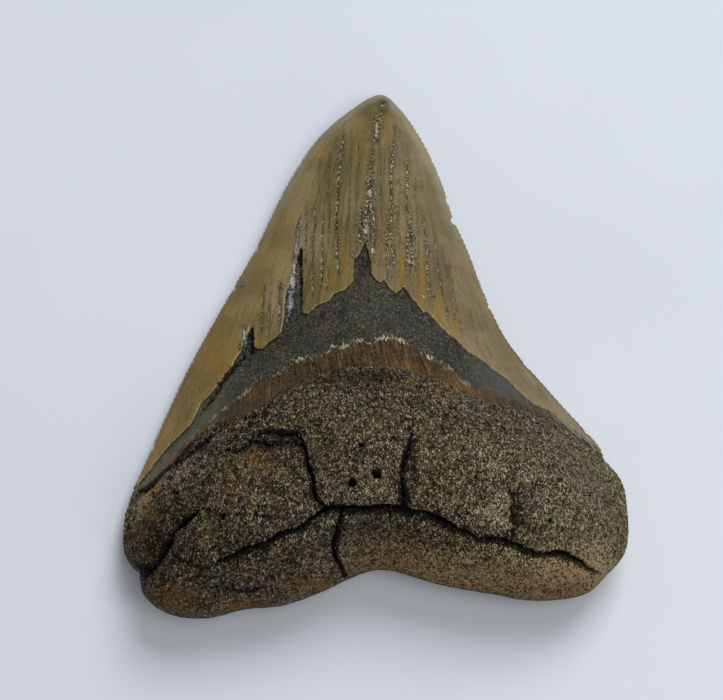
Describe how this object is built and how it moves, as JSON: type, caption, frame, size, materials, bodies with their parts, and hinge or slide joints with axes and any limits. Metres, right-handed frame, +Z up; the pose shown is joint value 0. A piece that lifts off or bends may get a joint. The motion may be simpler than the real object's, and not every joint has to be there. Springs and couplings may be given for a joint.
{
  "type": "megalodon tooth",
  "caption": "Fossil shark tooth with a honey-tan serrated crown, a dark neck band and a coarse cracked root, lying on its flatter face",
  "frame": {"origin": "On the resting plane, under the middle of the tooth's bounding box", "axes": "+Y runs along the crown to the tip, +X to the right of someone who looks from the root to the tip with the lingual face up, +Z up"},
  "size_m": [0.105, 0.1265, 0.0293],
  "materials": {
    "fossil": "Mineralised tooth: satin honey-tan enamel on the crown, dull charcoal and rust bands at the neck, coarse dark grainy root"
  },
  "bodies": {
    "root": {"tooth": "fossil"}
  },
  "joints": []
}
